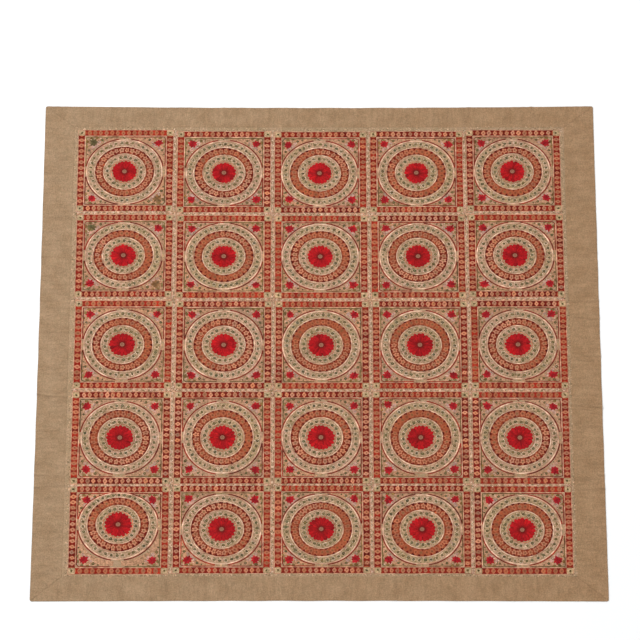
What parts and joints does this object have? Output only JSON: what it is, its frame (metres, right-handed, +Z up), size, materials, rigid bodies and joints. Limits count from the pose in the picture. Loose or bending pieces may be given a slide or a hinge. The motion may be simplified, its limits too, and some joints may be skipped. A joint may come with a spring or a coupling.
{
  "type": "mirror work embroidered coverlet",
  "caption": "Square coverlet lying flat: a beige panel tiled with framed floral medallions that hold small round mirrors, inside a plain tan cloth border with mitred corners.",
  "frame": {"origin": "the middle of the coverlet's outline, on the surface that it lies on", "axes": "+X along the rows of tiles, +Y towards the top edge, +Z up out of the embroidered side"},
  "size_m": [2.29, 2.29, 0.006],
  "materials": {
    "ground_cloth": "plain woven cotton, matt",
    "border_cloth": "plain woven cotton, matt, with a slight sheen",
    "mirror_glass": "thin hand-cut mirror glass, a little dulled",
    "red_thread": "floss silk with a soft sheen",
    "brick_thread": "floss silk with a soft sheen",
    "salmon_thread": "floss silk with a soft sheen",
    "green_thread": "cotton thread, matt",
    "cream_thread": "cotton thread, matt"
  },
  "bodies": {
    "root": {"embroidered_panel": "ground_cloth", "border_top": "border_cloth", "border_bottom": "border_cloth", "border_left": "border_cloth", "border_right": "border_cloth", "mirror_1_1": "mirror_glass", "mirror_1_2": "mirror_glass", "mirror_1_3": "mirror_glass", "mirror_1_4": "mirror_glass", "mirror_1_5": "mirror_glass", "mirror_2_1": "mirror_glass", "mirror_2_2": "mirror_glass", "mirror_2_3": "mirror_glass", "mirror_2_4": "mirror_glass", "mirror_2_5": "mirror_glass", "mirror_3_1": "mirror_glass", "mirror_3_2": "mirror_glass", "mirror_3_3": "mirror_glass", "mirror_3_4": "mirror_glass", "mirror_3_5": "mirror_glass", "mirror_4_1": "mirror_glass", "mirror_4_2": "mirror_glass", "mirror_4_3": "mirror_glass", "mirror_4_4": "mirror_glass", "mirror_4_5": "mirror_glass", "mirror_5_1": "mirror_glass", "mirror_5_2": "mirror_glass", "mirror_5_3": "mirror_glass", "mirror_5_4": "mirror_glass", "mirror_5_5": "mirror_glass"}
  },
  "joints": []
}
